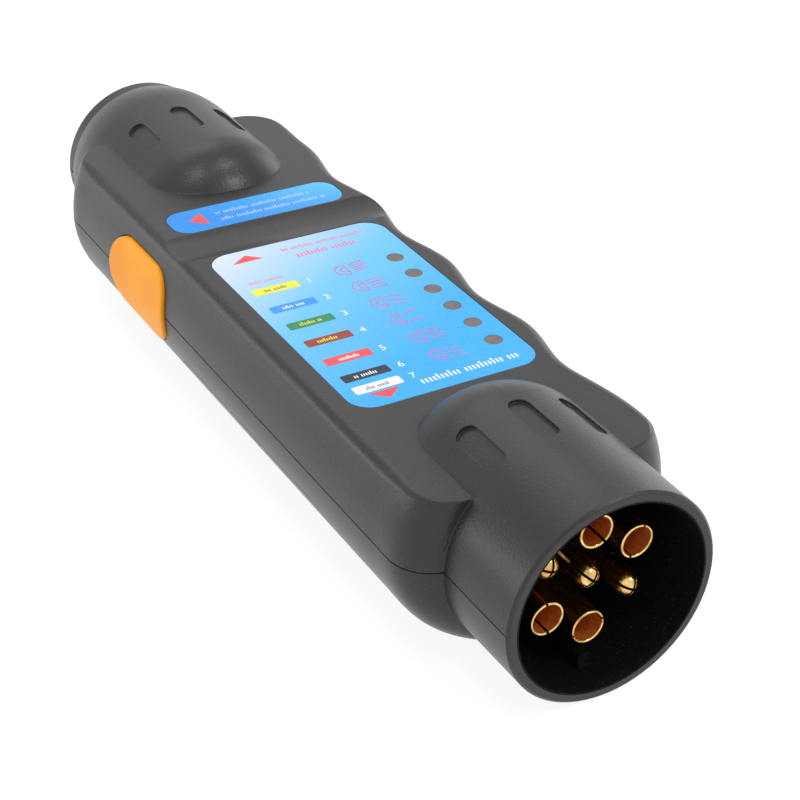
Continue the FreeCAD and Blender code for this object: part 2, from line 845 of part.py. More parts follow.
def terminals(grow, length):
    return [lengthwise(radius + grow, x, battery_z, battery_end - terminal_root, battery_end + length)
            for x, radius in zip((-terminal_pitch / 2, terminal_pitch / 2), terminal_radii)]


def make_battery_snap():
    front = battery_end + snap_gap
    plate_solid = box(-snap_width / 2, snap_width / 2, front, front + snap_thickness,
                      battery_z - snap_height / 2, battery_z + snap_height / 2)
    return plate_solid.cut(terminals(seat_gap, terminal_length + seat_gap))


def bent_wire(points, radius):
    """Round wire along straight runs with mitred bends."""
    section = Part.Wire(Part.makeCircle(radius, points[0], points[1] - points[0]))
    mitred = 1
    return Part.makePolygon(points).makePipeShell([section], True, True, mitred)


def make_snap_lead(x):
    """Battery lead: straight out of the snap, then up through the tub roof to the board."""
    points = [V(x, snap_back, battery_z), V(x, lead_y, battery_z), V(x, lead_y, board_underside)]
    return bent_wire(points, lead_radius)


def wire_pads():
    """Board pad of each contact, in contact order, so that no two wires cross."""
    order = (6, 2, 0, 1, 4, 5, 3)
    return [wire_pad_pitch * (place - 3) for place in order]


def make_wire(side, contact, pad_x):
    """Hook-up wire from a contact's tail to the board's end."""
    x, z = contact
    tail = rim - insert_back - tail_length
    edge = board_end if side > 0 else -board_start
    pad_z = board_underside + board_thickness / 2
    points = [V(x, side * (tail - seat_gap), z), V(x, side * (tail - wire_straight), z),
              V(pad_x, side * (edge + wire_straight), pad_z), V(pad_x, side * edge, pad_z)]
    return bent_wire(points, wire_radius)


def make_label(start, length, corner, windows):
    floor = deck_height - label_pocket
    panel = label_panel(start, length, corner, 0, floor, floor + label_thickness)
    if windows:
        return panel.cut([upright(window_radius, led_x, y, 0, deck_height + beyond) for y in led_places])
    return panel


def save_contacts():
    """Seven contacts at each end: what is a tube in the socket is a pin in the plug."""
    for number, (place, turn) in enumerate(zip(contact_places(), slit_turns), 1):
        if number - 1 in tube_places:
            save(f"socket_tube_{number}", make_tube(-1, place, turn))
            save(f"plug_pin_{number}", make_pin(1, place, turn))
        else:
            save(f"socket_pin_{number}", make_pin(-1, place, turn))
            save(f"plug_tube_{number}", make_tube(1, place, turn))


def build():
    os.makedirs("parts", exist_ok=True)
    outside = outer_form(0)
    housing = hollow_housing(outside)
    save("top_shell", make_top_shell(housing))
    save("bottom_shell", make_bottom_shell(housing))
    save("battery_door", make_battery_door(outside))
    save("housing_screws", make_housing_screws())
    save("main_label", make_label(main_label_start, main_label_length, main_label_corner, True))
    save("end_label", make_label(end_label_start, end_label_length, end_label_corner, False))
    save("power_button", make_button())
    save("switch_body", make_switch_body())
    save("switch_plunger", make_plunger())
    save("circuit_board", make_board())
    save("board_screws", make_board_screws())
    save("resistors", make_resistors())
    for number, y in enumerate(led_places, 1):
        save(f"led_{number}", make_led(y))
    save("socket_carrier", make_carrier(-1, socket_bore))
    save("plug_carrier", make_carrier(1, skirt_bore))
    save_contacts()
    for number, (place, pad) in enumerate(zip(contact_places(), wire_pads()), 1):
        save(f"socket_wire_{number}", make_wire(-1, place, pad))
        save(f"plug_wire_{number}", make_wire(1, place, pad))
    save("battery", make_battery())
    save("battery_snap", make_battery_snap())
    save("battery_lead_positive", make_snap_lead(-lead_x))
    save("battery_lead_negative", make_snap_lead(lead_x))


build()
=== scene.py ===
import json
import math
import bmesh
import bpy
import numpy as np
from mathutils import Matrix, Vector


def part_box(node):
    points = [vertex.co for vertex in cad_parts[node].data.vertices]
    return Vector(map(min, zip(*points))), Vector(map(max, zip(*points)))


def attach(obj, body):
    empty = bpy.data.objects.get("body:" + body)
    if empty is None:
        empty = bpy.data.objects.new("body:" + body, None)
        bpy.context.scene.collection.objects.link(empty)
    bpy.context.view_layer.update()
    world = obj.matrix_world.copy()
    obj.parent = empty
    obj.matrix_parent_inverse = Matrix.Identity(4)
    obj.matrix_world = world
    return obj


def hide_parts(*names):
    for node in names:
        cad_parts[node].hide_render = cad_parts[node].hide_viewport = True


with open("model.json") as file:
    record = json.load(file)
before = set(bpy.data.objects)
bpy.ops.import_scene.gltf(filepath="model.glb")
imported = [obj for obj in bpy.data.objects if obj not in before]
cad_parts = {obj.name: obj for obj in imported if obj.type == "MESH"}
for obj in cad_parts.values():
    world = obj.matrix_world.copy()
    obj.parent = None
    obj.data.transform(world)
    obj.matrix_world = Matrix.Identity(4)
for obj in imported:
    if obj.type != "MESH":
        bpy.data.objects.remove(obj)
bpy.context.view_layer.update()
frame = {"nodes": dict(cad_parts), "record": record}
print("frame loaded:", len(frame["nodes"]), "nodes")

mm = 0.001
carrierLow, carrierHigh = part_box("socket_carrier")
axisHeight = (carrierLow.z + carrierHigh.z) / 2  # line through both connectors


# Puts an array of points (metres) and a list of faces into one object that rides on a body.
# Doubles are merged, which closes seams and poles, and every face is turned outwards.
def meshPiece(name, points, faces, finishes, body, finishOfFace=None, smoothAngle=None):
    closeEnough = 1e-7
    mesh = bpy.data.meshes.new(name)
    mesh.from_pydata(points.tolist(), [], faces)
    if finishOfFace is not None:
        mesh.polygons.foreach_set("material_index", finishOfFace)
    shape = bmesh.new()
    shape.from_mesh(mesh)
    bmesh.ops.remove_doubles(shape, verts=shape.verts, dist=closeEnough)
    bmesh.ops.dissolve_degenerate(shape, edges=shape.edges, dist=closeEnough)
    bmesh.ops.recalc_face_normals(shape, faces=shape.faces)
    shape.to_mesh(mesh)
    shape.free()
    if smoothAngle is not None:
        mesh.shade_smooth()
        mesh.set_sharp_from_angle(angle=math.radians(smoothAngle))
    for finish in finishes:
        mesh.materials.append(finish)
    piece = bpy.data.objects.new(name, mesh)
    bpy.context.scene.collection.objects.link(piece)
    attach(piece, body)
    return piece


# Quads of a grid of points; column 0 follows the last one where the grid is closed.
def gridFaces(rows, columns, closed):
    strips = columns if closed else columns - 1
    row, column = np.meshgrid(np.arange(rows - 1), np.arange(strips), indexing="ij")
    after = (column + 1) % columns
    quads = np.stack([row * columns + column, row * columns + after,
                      (row + 1) * columns + after, (row + 1) * columns + column], axis=-1)
    return quads.reshape(-1, 4)


# Starts a material from one colour; the patterns are linked over it.
def newMaterial(name, color, roughness, metallic=0.0):
    material = bpy.data.materials.new(name)
    material.use_nodes = True
    shader = material.node_tree.nodes["Principled BSDF"]
    shader.inputs["Base Color"].default_value = (*color, 1)
    shader.inputs["Roughness"].default_value = roughness
    shader.inputs["Metallic"].default_value = metallic
    return material, material.node_tree, shader


# Noise on Object coordinates, in steps per metre, drawn out along the axes where stretch is under one.
def objectNoise(tree, scale, detail=3.0, stretch=(1, 1, 1)):
    place = tree.nodes.new("ShaderNodeTexCoord")
    mapping = tree.nodes.new("ShaderNodeMapping")
    mapping.inputs["Scale"].default_value = stretch
    noise = tree.nodes.new("ShaderNodeTexNoise")
    noise.inputs["Scale"].default_value = scale
    noise.inputs["Detail"].default_value = detail
    tree.links.new(place.outputs["Object"], mapping.inputs["Vector"])
    tree.links.new(mapping.outputs["Vector"], noise.inputs["Vector"])
    return noise.outputs["Fac"]


# Carries a factor from start..end to low..high, and holds it there outside.
def spread(tree, factor, low, high, start=0.3, end=0.7):
    span = tree.nodes.new("ShaderNodeMapRange")
    span.inputs["From Min"].default_value = start
    span.inputs["From Max"].default_value = end
    span.inputs["To Min"].default_value = low
    span.inputs["To Max"].default_value = high
    tree.links.new(factor, span.inputs["Value"])
    return span.outputs["Result"]


# One Math node; each value is a plain number or an output.
def mathNode(tree, operation, *values):
    node = tree.nodes.new("ShaderNodeMath")
    node.operation = operation
    for socket, value in zip(node.inputs, values):
        if isinstance(value, (int, float)):
            socket.default_value = value
        else:
            tree.links.new(value, socket)
    return node.outputs["Value"]


# Mixes two colours, each a plain colour or an output, by a factor.
def mixColors(tree, factor, first, second):
    mix = tree.nodes.new("ShaderNodeMix")
    mix.data_type = "RGBA"
    tree.links.new(factor, mix.inputs["Factor"])
    for socket, color in ((mix.inputs["A"], first), (mix.inputs["B"], second)):
        if isinstance(color, tuple):
            socket.default_value = (*color, 1)
        else:
            tree.links.new(color, socket)
    return mix.outputs["Result"]


# Stacks bumps on rounded edges: each layer is (height output, depth in metres).
def addBump(tree, shader, layers, edge=0.0):
    normal = None
    if edge > 0:
        rounding = tree.nodes.new("ShaderNodeBevel")
        rounding.samples = 6
        rounding.inputs["Radius"].default_value = edge
        normal = rounding.outputs["Normal"]
    for height, depth in layers:
        bump = tree.nodes.new("ShaderNodeBump")
        bump.inputs["Strength"].default_value = 1.0
        bump.inputs["Distance"].default_value = depth
        tree.links.new(height, bump.inputs["Height"])
        if normal is not None:
            tree.links.new(normal, bump.inputs["Normal"])
        normal = bump.outputs["Normal"]
    tree.links.new(normal, shader.inputs["Normal"])


mouths = {"socketReach": 0.01985, "skirtReach": 0.01735, "from": 0.07}


# Mask for the painted shade deep in the mouths: one inside the socket's mouth and the plug's skirt, and
# nought
# elsewhere: the distance from the connector axis is under the bore's radius, and the place along Y is
# past the deepest lit ring.
def insideMouths(tree):
    place = tree.nodes.new("ShaderNodeTexCoord")
    axes = tree.nodes.new("ShaderNodeSeparateXYZ")
    tree.links.new(place.outputs["Object"], axes.inputs["Vector"])
    height = mathNode(tree, "SUBTRACT", axes.outputs["Z"], axisHeight)
    acrossSquared = mathNode(tree, "MULTIPLY", axes.outputs["X"], axes.outputs["X"])
    heightSquared = mathNode(tree, "MULTIPLY", height, height)
    away = mathNode(tree, "SQRT", mathNode(tree, "ADD", acrossSquared, heightSquared))
    found = []
    for reach, side in ((mouths["socketReach"], -1), (mouths["skirtReach"], 1)):
        near = mathNode(tree, "LESS_THAN", away, reach)
        along = mathNode(tree, "MULTIPLY", axes.outputs["Y"], side)
        past = mathNode(tree, "GREATER_THAN", along, mouths["from"])
        found.append(mathNode(tree, "MULTIPLY", near, past))
    return mathNode(tree, "ADD", *found)


# Moulded plastic: spark-eroded grain, faint handling marks in the gloss and slight cloudiness.
# Inside the mouths, where the look has them, the skin is duller, with dust on it, and painted shade makes
# it darker and less reflective.
def mouldedPlastic(name, look):
    fleckFrom = 0.66  # only the peaks of the speck noise show
    material, tree, shader = newMaterial(name, look["color"], look["roughness"])
    cloud = objectNoise(tree, look["cloud"], 2.0)
    speck = objectNoise(tree, look["speck"], 1.0)
    grain = objectNoise(tree, look["grain"], 2.0)
    rubbed = objectNoise(tree, look["rub"], 4.0, (1.0, 0.25, 1.0))
    base = mixColors(tree, spread(tree, cloud, 0, 1), look["color"], look["second"])
    dust = spread(tree, speck, 0, look["fleck"], fleckFrom, 0.78)
    fleckedWithMouthShade = mixColors(tree, dust, base, look["dust"])
    gloss = spread(tree, rubbed, look["roughness"] - look["glossPlay"],
                   look["roughness"] + look["glossPlay"])
    if "mouth" in look:
        # Painted shade: inside the mouths the colour is darker and the specular level is lower.
        mouthShade = insideMouths(tree)
        mouthDust = spread(tree, speck, 0, look["fleck"], fleckFrom, 0.8)
        shadeWithDust = mixColors(tree, mouthDust, look["mouth"], look["mouthDust"])
        fleckedWithMouthShade = mixColors(tree, mouthShade, fleckedWithMouthShade, shadeWithDust)
        gloss = mathNode(tree, "ADD", gloss, mathNode(tree, "MULTIPLY", mouthShade, look["mouthDull"]))
        tree.links.new(spread(tree, mouthShade, look["specular"], look["mouthSpecular"], 0, 1),
                       shader.inputs["Specular IOR Level"])
    tree.links.new(fleckedWithMouthShade, shader.inputs["Base Color"])
    tree.links.new(gloss, shader.inputs["Roughness"])
    shader.inputs["Specular IOR Level"].default_value = look.get("specular", 0.5)
    addBump(tree, shader, [(grain, look["depth"]), (cloud, look["wave"])], look.get("edge", 0.0))
    return material


housingLook = {"color": (0.015, 0.015, 0.0153), "second": (0.022, 0.022, 0.0215),
               "dust": (0.13, 0.13, 0.125), "fleck": 0.25, "roughness": 0.34, "glossPlay": 0.05,
               "cloud": 60, "speck": 2600, "grain": 1900, "rub": 45, "depth": 0.00006, "wave": 0.00003,
               "edge": 0.0004, "specular": 0.42,
               # The mouth colour and mouth specular below are painted shade inside the mouths.
               "mouth": (0.003, 0.003, 0.003), "mouthDust": (0.18, 0.18, 0.165), "mouthDull": 0.3,
               "mouthSpecular": 0.12}
# Insulators: black parts, but darker and less reflective than the housing; the extra darkness is painted
# shade deep in the mouths.
insulatorLook = {"color": (0.004, 0.004, 0.0045), "second": (0.007, 0.007, 0.007),
                 "dust": (0.09, 0.09, 0.09), "fleck": 0.4, "roughness": 0.65, "glossPlay": 0.08,
                 "cloud": 90, "speck": 1700, "grain": 2600, "rub": 80, "depth": 0.00003, "wave": 0.00003,
                 "specular": 0.15}
buttonLook = {"color": (0.96, 0.33, 0.008), "second": (0.98, 0.4, 0.012), "dust": (0.98, 0.5, 0.06),
              "fleck": 0.12, "roughness": 0.42, "glossPlay": 0.05, "cloud": 70, "speck": 2000,
              "grain": 2600, "rub": 60, "depth": 0.000015, "wave": 0.00003, "specular": 0.2}
blackPartLook = dict(insulatorLook, color=(0.02, 0.02, 0.021), second=(0.03, 0.03, 0.03))
whitePartLook = dict(buttonLook, color=(0.78, 0.78, 0.74), second=(0.72, 0.71, 0.66),
                     dust=(0.6, 0.58, 0.5))


# Turned metal: fine rings round the Y axis, with tarnish in patches.
def turnedMetal(name, look):
    material, tree, shader = newMaterial(name, look["color"], look["roughness"], 1.0)
    rings = objectNoise(tree, look["rings"], 2.0, look["stretch"])
    patches = objectNoise(tree, look["patches"], 3.0)
    tarnish = spread(tree, patches, 0, 1, 0.35, 0.7)
    tree.links.new(mixColors(tree, tarnish, look["color"], look["second"]), shader.inputs["Base Color"])
    gloss = spread(tree, patches, look["roughness"], look["roughness"] + look["glossPlay"])
    tree.links.new(gloss, shader.inputs["Roughness"])
    addBump(tree, shader, [(rings, look["depth"])], look.get("edge", 0.0))
    return material


brassLook = {"color": (0.9, 0.64, 0.25), "second": (0.5, 0.27, 0.07), "roughness": 0.12,
             "glossPlay": 0.16, "rings": 500, "stretch": (0.6, 3.0, 0.6), "patches": 520,
             "depth": 0.00001, "edge": 0.00012}
# Brass inside the bores: rougher, and redder than the contacts' brass, which paints in the orange glow of
# light reflected round the bore.
boreGlowLook = dict(brassLook, color=(0.95, 0.42, 0.1), second=(0.68, 0.25, 0.05), roughness=0.42,
                glossPlay=0.2, rings=1400, stretch=(1.0, 0.12, 1.0), patches=900, depth=0.00002, edge=0.0)
steelLook = dict(brassLook, color=(0.6, 0.6, 0.61), second=(0.45, 0.45, 0.46), roughness=0.28,
                 stretch=(1, 1, 1), depth=0.000015)


# Printed film: a gradient along and across the label, whose pale end on the main label is partly print
# and partly painted sheen, a fine print screen and a satin coat.
def labelFilm(name, look):
    material, tree, shader = newMaterial(name, look["deep"], look["roughness"])
    low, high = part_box(look["node"])
    place = tree.nodes.new("ShaderNodeTexCoord")
    axes = tree.nodes.new("ShaderNodeSeparateXYZ")
    tree.links.new(place.outputs["Object"], axes.inputs["Vector"])
    along = spread(tree, axes.outputs["Y"], 0, 1, low.y, high.y)
    across = spread(tree, axes.outputs["X"], look["left"], look["right"], low.x, high.x)
    total = mathNode(tree, "ADD", along, across)
    ramp = tree.nodes.new("ShaderNodeValToRGB")
    stops = ramp.color_ramp.elements
    stops[0].position, stops[0].color = look["from"], (*look["deep"], 1)
    stops[1].position, stops[1].color = look["to"], (*look["pale"], 1)
    middle = stops.new((look["from"] + look["to"]) / 2)
    middle.color = (*look["middle"], 1)
    share = mathNode(tree, "DIVIDE", total, 1 + look["left"] + look["right"])
    tree.links.new(share, ramp.inputs["Fac"])
    screen = spread(tree, objectNoise(tree, look["screen"], 1.0), 0, look["screenDepth"], 0.45, 0.65)
    shade = mixColors(tree, screen, ramp.outputs["Color"], look["pale"])
    tree.links.new(shade, shader.inputs["Base Color"])
    rubbed = objectNoise(tree, look["rub"], 3.0)
    gloss = spread(tree, rubbed, look["roughness"] - look["smoother"], look["roughness"] + look["duller"])
    tree.links.new(gloss, shader.inputs["Roughness"])
    shader.inputs["Specular IOR Level"].default_value = look["specular"]
    addBump(tree, shader, [(objectNoise(tree, look["cloud"], 2.0), look["wave"])])
    return material


# The pale far end of the main label is partly print and partly painted sheen: the glare of the backdrop
# at grazing angles.
mainFilmLook = {"node": "main_label", "deep": (0.04, 0.4, 0.92), "middle": (0.15, 0.52, 0.93),
                "pale": (0.66, 0.73, 0.87), "left": 0.45, "right": 0.0, "from": 0.3, "to": 0.97,
                "roughness": 0.45, "smoother": 0.05, "duller": 0.08, "rub": 120, "cloud": 90,
                "wave": 0.00003, "screen": 2600, "screenDepth": 0.06, "specular": 0.22}
endFilmLook = dict(mainFilmLook, node="end_label", deep=(0.035, 0.27, 0.8), middle=(0.055, 0.36, 0.88),
                   pale=(0.12, 0.52, 0.95), left=0.0, right=2.5)


inkLook = {"roughness": 0.5, "cloud": 900, "thin": 0.25, "grain": 2600, "depth": 0.00001,
           "specular": 0.25}


# Print ink: the colour is a little paler where it lies thin.
def printInk(name, color):
    material, tree, shader = newMaterial(name, color, inkLook["roughness"])
    thin = spread(tree, objectNoise(tree, inkLook["cloud"], 2.0), 0, inkLook["thin"], 0.4, 0.7)
    paler = tuple(min(1, part * 1.4 + 0.02) for part in color)
    tree.links.new(mixColors(tree, thin, color, paler), shader.inputs["Base Color"])
    shader.inputs["Specular IOR Level"].default_value = inkLook["specular"]
    addBump(tree, shader, [(objectNoise(tree, inkLook["grain"], 1.0), inkLook["depth"])])
    return material


inkColors = {"yellow": (0.83, 0.78, 0.045), "blue": (0.05, 0.3, 0.78), "green": (0.035, 0.24, 0.1),
             "brown": (0.3, 0.055, 0.04), "red": (0.86, 0.09, 0.09), "black": (0.03, 0.035, 0.045),
             "white": (0.86, 0.89, 0.94), "rose": (0.62, 0.13, 0.3), "pink": (0.78, 0.22, 0.34),
             "grey": (0.2, 0.2, 0.23), "mist": (0.45, 0.55, 0.85)}


# Solder mask over woven glass: a faint square weave under a green coat.
def boardResin(name, look):
    material, tree, shader = newMaterial(name, look["color"], look["roughness"])
    place = tree.nodes.new("ShaderNodeTexCoord")
    weave = tree.nodes.new("ShaderNodeTexChecker")
    weave.inputs["Scale"].default_value = look["weave"]
    weave.inputs["Color1"].default_value = (*look["color"], 1)
    weave.inputs["Color2"].default_value = (*look["second"], 1)
    tree.links.new(place.outputs["Object"], weave.inputs["Vector"])
    cloud = spread(tree, objectNoise(tree, look["cloud"], 3.0), 0, 0.5)
    coat = mixColors(tree, cloud, weave.outputs["Color"], look["second"])
    tree.links.new(coat, shader.inputs["Base Color"])
    addBump(tree, shader, [(objectNoise(tree, look["grain"], 2.0), look["depth"])])
    return material


boardLook = {"color": (0.02, 0.16, 0.06), "second": (0.03, 0.22, 0.09), "roughness": 0.3, "weave": 1800,
             "cloud": 150, "grain": 700, "depth": 0.00002}


# Smoked lens: dark resin, slightly cloudy, with a satin face.
def lampLens(name, look):
    material, tree, shader = newMaterial(name, look["color"], look["roughness"])
    cloud = spread(tree, objectNoise(tree, look["cloud"], 2.0), 0, 1)
    tree.links.new(mixColors(tree, cloud, look["color"], look["second"]), shader.inputs["Base Color"])
    addBump(tree, shader, [(objectNoise(tree, look["grain"], 1.0), look["depth"])])
    return material


lensLook = {"color": (0.13, 0.105, 0.1), "second": (0.18, 0.15, 0.14), "roughness": 0.45, "cloud": 500,
            "grain": 900, "depth": 0.00002}
filmLook = dict(lensLook, color=(0.125, 0.098, 0.092), second=(0.17, 0.138, 0.128), roughness=0.5)


wireColors = {"wire_yellow": (0.85, 0.66, 0.05), "wire_blue": (0.05, 0.16, 0.62),
              "wire_white": (0.8, 0.8, 0.78), "wire_green": (0.04, 0.36, 0.1),
              "wire_brown": (0.24, 0.1, 0.04), "wire_red": (0.66, 0.04, 0.03),
              "wire_black": (0.03, 0.03, 0.03)}

# The names on the left are the slots of the CAD pieces.
materials = {
    "housing_black": mouldedPlastic("housingPlastic", housingLook),
    "insulator_black": mouldedPlastic("insulatorPlastic", insulatorLook),
    "button_orange": mouldedPlastic("buttonPlastic", buttonLook),
    "switch_black": mouldedPlastic("switchPlastic", blackPartLook),
    "snap_black": mouldedPlastic("snapPlastic", blackPartLook),
    "plunger_white": mouldedPlastic("plungerPlastic", whitePartLook),
    "contact_brass": turnedMetal("contactBrass", brassLook),
    "screw_steel": turnedMetal("screwSteel", steelLook),
    "battery_case": turnedMetal("batteryJacket", dict(steelLook, color=(0.5, 0.51, 0.53))),
    "main_label": labelFilm("mainFilm", mainFilmLook),
    "end_label": labelFilm("endFilm", endFilmLook),
    "board_green": boardResin("boardResin", boardLook),
    "resistor_tan": mouldedPlastic("chipCoat", dict(blackPartLook, color=(0.05, 0.05, 0.05))),
    "led_lens": lampLens("lampLens", lensLook),
}
for wire, color in wireColors.items():
    materials[wire] = mouldedPlastic(wire, dict(buttonLook, color=color, second=color, dust=color))

slotOfNode = {part["node"]: part["material_slot"] for part in frame["record"]["subparts"]}
for node, cadPiece in frame["nodes"].items():
    cadPiece.data.materials.clear()
    cadPiece.data.materials.append(materials[slotOfNode[node]])
print("materials given to the CAD nodes")


contactLook = {"slitTurns": {1: 113, 2: 55, 3: 20, 4: 85, 5: 162, 6: 25, 7: 40}, "slitWidth": 0.5,
               "slitLength": 9.0, "wall": 0.6, "lipRound": 0.28, "boreDepth": 17.0, "bodyLength": 20.7,
               "shankRadius": 2.2, "shankLength": 15.0, "steps": 20, "roundSteps": 9}
# The bore brass's redder colour is painted reflection, the orange glow inside the bores.
boreGlowBrass = turnedMetal("boreGlowBrass", boreGlowLook)


# Arc of (depth, radius) about a centre, between two angles in degrees.
def profileArc(depth, radius, size, start, end):
    angle = np.radians(np.linspace(start, end, contactLook["roundSteps"]))
    return np.column_stack([depth - size * np.cos(angle), radius + size * np.sin(angle)])


# Turned piece about a line along Y: point (depth, radius) of the profile goes to the angle
# start + t (end - start), and asin(half the slit / radius) is taken off both ends of the sweep, which
# keeps the side faces flat and parallel. Returns the points, the faces and each face's profile place.
def turnedSweep(profile, start, end, halfSlit, closed, steps, count):
    depth, radius = profile[:, 0], profile[:, 1]
    clear = np.zeros(len(depth))
    if halfSlit > 0:
        clear = np.arcsin(np.clip(halfSlit / np.maximum(radius, 1e-6), 0, 1))
    first, last = math.radians(start) + clear, math.radians(end) - clear
    part = np.linspace(0, 1, steps + 1)[:, None]
    angle = first + part * (last - first)
    along = np.broadcast_to(depth, angle.shape)
    grid = np.stack([radius * np.cos(angle), along, radius * np.sin(angle)], axis=-1)
    faces = gridFaces(steps + 1, len(depth), closed)
    place = faces[:, 0] % len(depth)
    faces = (faces + count).tolist()
    if halfSlit > 0:
        faces += [[count + i for i in range(len(depth))],
                  [count + steps * len(depth) + i for i in reversed(range(len(depth)))]]
        place = np.concatenate([place, [0, 0]])
    return grid.reshape(-1, 3), faces, place


# Slit front of a contact, then its plain part, its shank and its tail. A tube's front is two half shells,
# and a pin's is four quarters of a dome.
# The faces at the dark places take the redder bore brass, whose colour is painted reflection: the orange
# glow inside the bore.
def makeContact(node):
    look = contactLook
    low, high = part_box(node)
    isTube = "_tube_" in node
    number = int(node[-1])
    outer = (high.x - low.x) / 2 / mm
    front, inward = (low.y, 1) if low.y < 0 else (high.y, -1)
    slitAngle = -look["slitTurns"][number]
    back = look["bodyLength"]
    tail = [(back, look["shankRadius"]), (back + look["shankLength"], look["shankRadius"]),
            (back + look["shankLength"], 0)]
    if isTube:
        bore = outer - look["wall"]
        lip = look["lipRound"]
        segment = np.concatenate([[(look["slitLength"], bore)],
                                  profileArc(lip, bore + lip, lip, -90, 0),
                                  profileArc(lip, outer - lip, lip, 0, 90),
                                  [(look["slitLength"], outer)]])
        rear = np.array([(look["boreDepth"], 0), (look["boreDepth"], bore), (look["slitLength"], bore),
                         (look["slitLength"], outer), (back, outer)] + tail)
        turns, darkPlaces, rearDark = (0, 180), {0}, {0, 1}
    else:
        least = look["slitWidth"] / 2 * math.sqrt(2)
        dome = profileArc(outer, 0, outer, math.degrees(math.asin(least / outer)), 90)
        segment = np.concatenate([dome, [(look["slitLength"], outer), (look["slitLength"], least)]])
        rear = np.array([(look["slitLength"], 0), (look["slitLength"], outer), (back, outer)] + tail)
        turns, darkPlaces, rearDark = (0, 90, 180, 270), set(), set()
    sweep = 360 / len(turns)
    around = look["steps"] * 4
    points, faces, dark, count = [], [], [], 0
    for turn in turns:
        start = slitAngle + turn
        grid, quads, place = turnedSweep(segment, start, start + sweep, look["slitWidth"] / 2, True,
                                         around // len(turns), count)
        points.append(grid)
        faces += quads
        endFaces = np.arange(len(place)) >= len(place) - 2
        dark.append(np.isin(place, list(darkPlaces)) & ~endFaces)
        count += len(grid)
    grid, quads, place = turnedSweep(rear, 0, 360, 0, False, around, count)
    points.append(grid)
    faces += quads
    dark.append(np.isin(place, list(rearDark)))
    middle = ((low.x + high.x) / 2, front, (low.z + high.z) / 2)
    shape = np.concatenate(points) * (1, inward, 1) * mm + middle
    piece = meshPiece(node + "_turned", shape, faces, [materials["contact_brass"], boreGlowBrass],
                      "housing", np.concatenate(dark).astype(int), 40)
    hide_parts(node)


for node in sorted(frame["nodes"]):
    if "_tube_" in node or "_pin_" in node:
        makeContact(node)
print("contacts turned and slit")


# Each bar has its ink, its place along Y and the ink of its marks. A row of marks has its left and
# right end, its place along Y, its height, its line width and a number that picks its first stroke.
labelPrint = {"lift": 0.00002, "barLeft": -18.0, "barRight": -7.8, "barHeight": 2.7, "barRound": 0.35,
              "bars": (("yellow", 0.2, "grey"), ("blue", -7.9, "white"), ("green", -15.5, "yellow"),
                       ("brown", -23.1, "yellow"), ("red", -31.1, "white"), ("black", -38.2, "white"),
                       ("white", -42.9, "grey")),
              "barMarksReach": 2.7, "barMarksHeight": 1.2, "numberX": -5.2, "numberSize": 2.7,
              "lampX": 4.6, "lampSize": 2.25, "lineWidth": 0.26,
              "lampRays": (3, 4, 2, 3, 4, 5), "raySlopes": (-0.3, 0, 0.3),
              "arrows": ([[-16.2, -44.9], [-12.7, -47.7], [-9.3, -44.9]],
                         [[-9.2, 13.5], [-12.3, 16.2], [-16.3, 13.5]]),
              "titleRows": ((-4.4, 16.0, 14.9, 1.3, 0.3, 0), (-2.6, 12.4, 11.4, 2.0, 0.45, 3),
                            (-17.4, -8.4, 4.4, 1.1, 0.22, 2)),
              "footRow": (-6.0, 17.0, -45.4, 2.1, 0.42, 4)}
endPrint = {"arrow": [[-12.4, 33.3], [-12.4, 39.1], [-16.2, 36.2]],
            "rows": ((-9.4, 17.0, 34.4, 1.5, 0.3, 1), (-9.4, 14.0, 37.6, 1.5, 0.3, 5))}


# One colour of ink as flat prisms. An outline is a filled shape, and a stroke is (path, width), whose
# outline is the path shifted half the width to each side.
def inkLayer(name, outlines, strokes, topZ, color):
    points, faces, count = [], [], 0
    for outline in outlines:
        size = len(outline)
        flat = np.asarray(outline) * mm
        for z in (topZ - labelPrint["lift"], topZ + labelPrint["lift"]):
            points.append(np.column_stack([flat, np.full(size, z)]))
        low = list(range(count, count + size))
        high = [i + size for i in low]
        faces += [high, low[::-1]]
        faces += [[low[i], low[(i + 1) % size], high[(i + 1) % size], high[i]] for i in range(size)]
        count += 2 * size
    for path, width in strokes:
        line = np.asarray(path) * mm
        along = np.gradient(line, axis=0)
        along /= np.linalg.norm(along, axis=1, keepdims=True)
        side = np.column_stack([-along[:, 1], along[:, 0]]) * width * mm / 2
        closed = np.allclose(line[0], line[-1])
        if closed:
            meet = (side[0] + side[-1]) / 2
            side[0] = side[-1] = meet * (width * mm / 2) / np.linalg.norm(meet)
        rows = len(line)
        ring = []
        for across, up in ((-1, -1), (1, -1), (1, 1), (-1, 1)):
            height = np.full(rows, topZ + labelPrint["lift"] * up)
            ring.append(np.column_stack([line - side * across, height]))
        points.append(np.stack(ring, axis=1).reshape(-1, 3))
        faces += (gridFaces(rows, 4, True) + count).tolist()
        if not closed:
            last = count + 4 * (rows - 1)
            faces += [[count + i for i in (3, 2, 1, 0)], [last + i for i in (0, 1, 2, 3)]]
        count += 4 * rows
    ink = printInk(name + "Ink", color)
    return meshPiece(name, np.concatenate(points), faces, [ink], "housing")


# Rectangle with round corners: a quarter circle about each corner's centre.
def roundedBar(left, right, low, high, corner, steps=6):
    turn = np.linspace(0, math.pi / 2, steps)
    quarters = []
    for quarter, (x, y) in enumerate(((right, high), (left, high), (left, low), (right, low))):
        angle = turn + quarter * math.pi / 2
        centreX = x - corner * (1 if x == right else -1)
        centreY = y - corner * (1 if y == high else -1)
        quarters.append(np.column_stack([centreX + corner * np.cos(angle),
                                         centreY + corner * np.sin(angle)]))
    return np.concatenate(quarters)


